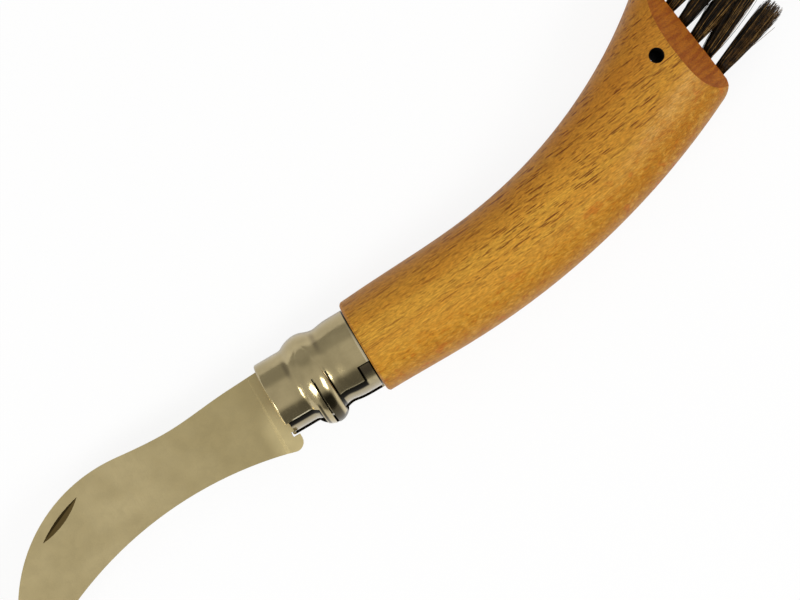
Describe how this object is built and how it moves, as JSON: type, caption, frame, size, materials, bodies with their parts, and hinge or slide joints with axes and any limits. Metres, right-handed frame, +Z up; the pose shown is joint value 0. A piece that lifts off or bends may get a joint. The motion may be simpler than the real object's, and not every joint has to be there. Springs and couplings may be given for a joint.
{
  "type": "mushroom knife",
  "caption": "Folding mushroom knife: curved wooden handle with a bristle brush in its end, hooked blade with a nail nick, and a turning lock ring on the collar.",
  "frame": {"origin": "middle of the bounding box, on the surface that the knife lies on", "axes": "+X along the collar towards the tip of the open blade, +Y to the side that the cutting edge faces, +Z up from the surface, across the flat of the blade"},
  "size_m": [0.2176, 0.0692, 0.0222],
  "materials": {
    "beech": "fine straight grain, clear varnish",
    "ferrule_steel": "polished",
    "ring_steel": "polished",
    "pin_steel": "turned",
    "blade_steel": "satin",
    "bristle": "stiff natural bristle",
    "anchor_wire": "plain wire"
  },
  "bodies": {
    "root": {"handle": "beech", "fixed_ferrule": "ferrule_steel", "pivot_pin": "pin_steel", "bristle_tuft_01": "bristle", "bristle_tuft_02": "bristle", "bristle_tuft_03": "bristle", "bristle_tuft_04": "bristle", "bristle_tuft_05": "bristle", "bristle_tuft_06": "bristle", "bristle_tuft_07": "bristle", "bristle_tuft_08": "bristle", "bristle_tuft_09": "bristle", "bristle_tuft_10": "bristle", "bristle_tuft_11": "bristle", "bristle_tuft_12": "bristle", "bristle_tuft_13": "bristle", "bristle_tuft_14": "bristle", "bristle_tuft_15": "bristle", "bristle_tuft_16": "bristle", "bristle_tuft_17": "bristle", "bristle_tuft_18": "bristle", "tuft_anchors": "anchor_wire"},
    "blade": {"blade": "blade_steel"},
    "lock_ring": {"locking_ring": "ring_steel"}
  },
  "joints": [
    {"name": "blade_fold", "type": "hinge", "parent": "root", "child": "blade", "pos_m": [0.02034, 0.01081, 0.0111], "axis": [0, 0, 1], "range_deg": [0, 176]},
    {"name": "ring_turn", "type": "hinge", "parent": "root", "child": "lock_ring", "pos_m": [0.02034, 0.00881, 0.0111], "axis": [-1, 0, 0], "range_deg": [0, 57.5]}
  ]
}
